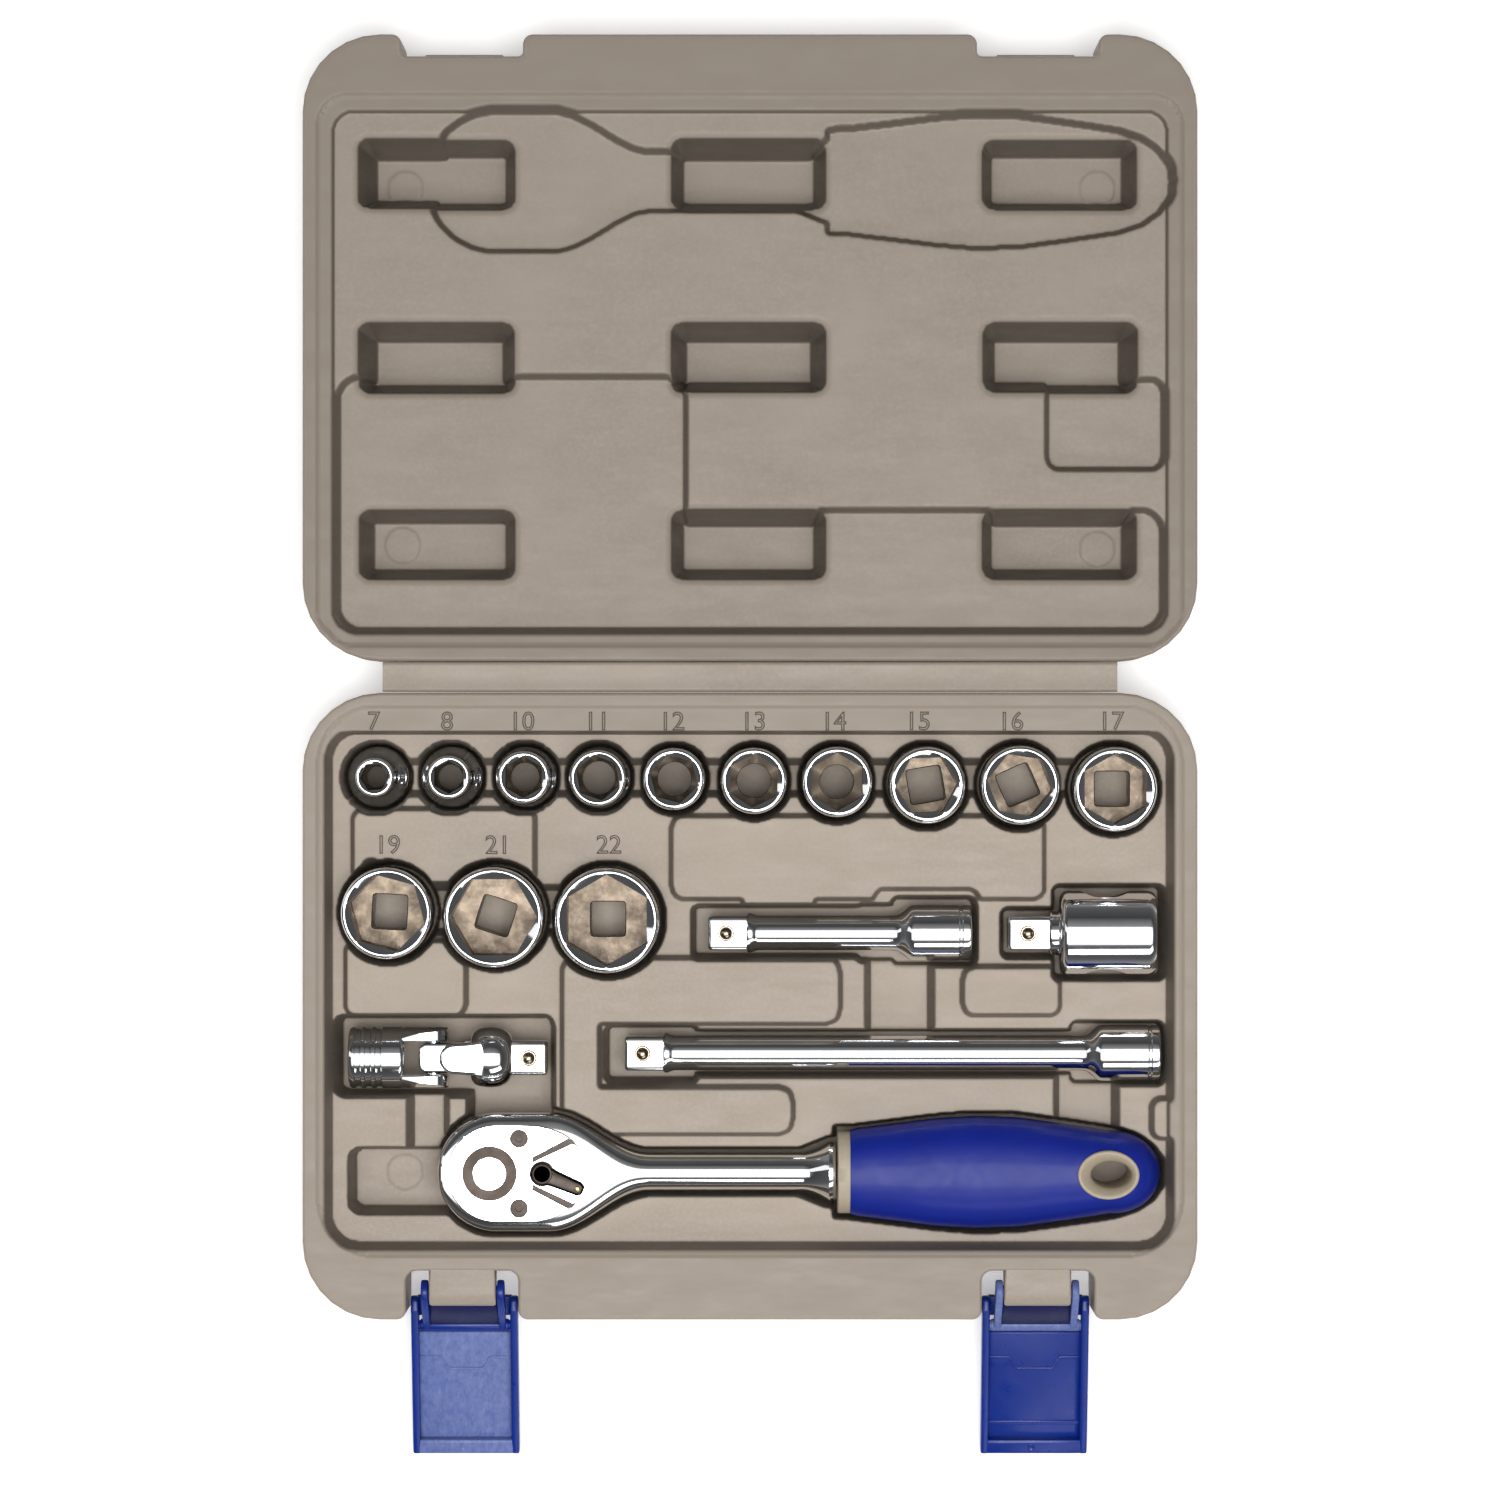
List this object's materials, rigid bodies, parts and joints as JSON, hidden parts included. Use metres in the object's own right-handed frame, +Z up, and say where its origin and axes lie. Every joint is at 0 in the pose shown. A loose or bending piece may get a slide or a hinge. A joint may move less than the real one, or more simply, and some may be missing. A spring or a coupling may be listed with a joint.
{
  "type": "socket wrench set",
  "caption": "Ratchet, sockets, extensions, joint and adapter in a moulded case with a hinged lid and two latches.",
  "frame": {"origin": "under the middle of the base tray, on the surface it stands on", "axes": "+X to the right, +Y from the latches towards the hinge and lid, +Z up"},
  "size_m": [0.2488, 0.3977, 0.0331],
  "materials": {
    "case": "fine matt texture",
    "chrome": "polished",
    "blue_plastic": "satin",
    "blue_rubber": "satin",
    "beige_plastic": "matt",
    "bronzed_steel": "dark bronzed",
    "black_steel": "black"
  },
  "bodies": {
    "tray": {"case_base": "case"},
    "web": {"hinge_web": "case"},
    "lid": {"case_lid": "case"},
    "left_link": {"latch_link_left": "blue_plastic"},
    "right_link": {"latch_link_right": "blue_plastic"},
    "left_handle": {"latch_handle_left": "blue_plastic"},
    "right_handle": {"latch_handle_right": "blue_plastic"},
    "s7": {"socket_7": "chrome"},
    "s8": {"socket_8": "chrome"},
    "s10": {"socket_10": "chrome"},
    "s11": {"socket_11": "chrome"},
    "s12": {"socket_12": "chrome"},
    "s13": {"socket_13": "chrome"},
    "s14": {"socket_14": "chrome"},
    "s15": {"socket_15": "chrome"},
    "s16": {"socket_16": "chrome"},
    "s17": {"socket_17": "chrome"},
    "s19": {"socket_19": "chrome"},
    "s21": {"socket_21": "chrome"},
    "s22": {"socket_22": "chrome"},
    "short_bar": {"extension_short": "chrome", "extension_short_ball": "bronzed_steel"},
    "long_bar": {"extension_long": "chrome", "extension_long_ball": "bronzed_steel"},
    "square_adapter": {"adapter": "chrome", "adapter_ball": "bronzed_steel"},
    "fork": {"joint_fork": "chrome"},
    "ratchet": {"ratchet_body": "chrome", "ratchet_cover": "chrome", "ratchet_screws": "bronzed_steel", "grip_core": "beige_plastic", "grip_sleeve": "blue_rubber"},
    "cross": {"joint_cross": "chrome", "joint_pins": "chrome"},
    "output": {"joint_output": "chrome", "joint_ball": "bronzed_steel"},
    "lever": {"ratchet_lever": "black_steel", "ratchet_pawl": "chrome"},
    "drive": {"ratchet_drive": "bronzed_steel", "ratchet_ball": "bronzed_steel", "ratchet_spring": "bronzed_steel"},
    "button": {"ratchet_button": "chrome"}
  },
  "joints": [
    {"name": "hinge_base", "type": "hinge", "parent": "tray", "child": "web", "pos_m": [0, 0.0879, 0.02435], "axis": [-1, 0, 0], "range_deg": [-90, 0]},
    {"name": "hinge_lid", "type": "hinge", "parent": "web", "child": "lid", "pos_m": [0, 0.0952, 0.02435], "axis": [-1, 0, 0], "range_deg": [-90, 0]},
    {"name": "left_link_turn", "type": "hinge", "parent": "tray", "child": "left_link", "pos_m": [-0.08, -0.0797, 0.0239], "axis": [-1, 0, 0], "range_deg": [-28.4, 0]},
    {"name": "left_latch", "type": "hinge", "parent": "left_link", "child": "left_handle", "pos_m": [-0.08, -0.09001, 0.013], "axis": [1, 0, 0], "range_deg": [-133.3, 0]},
    {"name": "right_link_turn", "type": "hinge", "parent": "tray", "child": "right_link", "pos_m": [0.08, -0.0797, 0.0239], "axis": [-1, 0, 0], "range_deg": [-28.4, 0]},
    {"name": "right_latch", "type": "hinge", "parent": "right_link", "child": "right_handle", "pos_m": [0.08, -0.09001, 0.013], "axis": [1, 0, 0], "range_deg": [-133.3, 0]},
    {"name": "lift_s7", "type": "slide", "parent": "tray", "child": "s7", "axis": [0, 0, 1], "range_m": [0, 0.06]},
    {"name": "lift_s8", "type": "slide", "parent": "tray", "child": "s8", "axis": [0, 0, 1], "range_m": [0, 0.06]},
    {"name": "lift_s10", "type": "slide", "parent": "tray", "child": "s10", "axis": [0, 0, 1], "range_m": [0, 0.06]},
    {"name": "lift_s11", "type": "slide", "parent": "tray", "child": "s11", "axis": [0, 0, 1], "range_m": [0, 0.06]},
    {"name": "lift_s12", "type": "slide", "parent": "tray", "child": "s12", "axis": [0, 0, 1], "range_m": [0, 0.06]},
    {"name": "lift_s13", "type": "slide", "parent": "tray", "child": "s13", "axis": [0, 0, 1], "range_m": [0, 0.06]},
    {"name": "lift_s14", "type": "slide", "parent": "tray", "child": "s14", "axis": [0, 0, 1], "range_m": [0, 0.06]},
    {"name": "lift_s15", "type": "slide", "parent": "tray", "child": "s15", "axis": [0, 0, 1], "range_m": [0, 0.06]},
    {"name": "lift_s16", "type": "slide", "parent": "tray", "child": "s16", "axis": [0, 0, 1], "range_m": [0, 0.06]},
    {"name": "lift_s17", "type": "slide", "parent": "tray", "child": "s17", "axis": [0, 0, 1], "range_m": [0, 0.06]},
    {"name": "lift_s19", "type": "slide", "parent": "tray", "child": "s19", "axis": [0, 0, 1], "range_m": [0, 0.06]},
    {"name": "lift_s21", "type": "slide", "parent": "tray", "child": "s21", "axis": [0, 0, 1], "range_m": [0, 0.06]},
    {"name": "lift_s22", "type": "slide", "parent": "tray", "child": "s22", "axis": [0, 0, 1], "range_m": [0, 0.06]},
    {"name": "lift_short_bar", "type": "slide", "parent": "tray", "child": "short_bar", "axis": [0, 0, 1], "range_m": [0, 0.06]},
    {"name": "lift_long_bar", "type": "slide", "parent": "tray", "child": "long_bar", "axis": [0, 0, 1], "range_m": [0, 0.06]},
    {"name": "lift_square_adapter", "type": "slide", "parent": "tray", "child": "square_adapter", "axis": [0, 0, 1], "range_m": [0, 0.06]},
    {"name": "lift_fork", "type": "slide", "parent": "tray", "child": "fork", "axis": [0, 0, 1], "range_m": [0, 0.06]},
    {"name": "lift_ratchet", "type": "slide", "parent": "tray", "child": "ratchet", "axis": [0, 0, 1], "range_m": [0, 0.06]},
    {"name": "joint_bend", "type": "hinge", "parent": "fork", "child": "cross", "pos_m": [-0.0886, -0.0149, 0.0145], "axis": [0, -1, 0], "range_deg": [0, 55]},
    {"name": "joint_swing", "type": "hinge", "parent": "cross", "child": "output", "pos_m": [-0.0825, -0.0149, 0.0145], "axis": [0, 0, 1], "range_deg": [-8, 8]},
    {"name": "lever_turn", "type": "hinge", "parent": "ratchet", "child": "lever", "pos_m": [-0.0578, -0.0466, 0.026], "axis": [0, 0, 1], "range_deg": [0, 45]},
    {"name": "drive_turn", "type": "hinge", "parent": "ratchet", "child": "drive", "pos_m": [-0.0725, -0.0466, 0.008], "axis": [0, 0, 1], "continuous": true},
    {"name": "button_press", "type": "slide", "parent": "drive", "child": "button", "axis": [0, 0, -1], "range_m": [0, 0.002], "stiffness_N_per_m": 400}
  ],
  "couplings": [
    {"joint": "hinge_lid", "follows": "hinge_base", "ratio": 1},
    {"joint": "left_link_turn", "follows": "left_latch", "ratio": 0.21248},
    {"joint": "right_link_turn", "follows": "right_latch", "ratio": 0.21248}
  ]
}
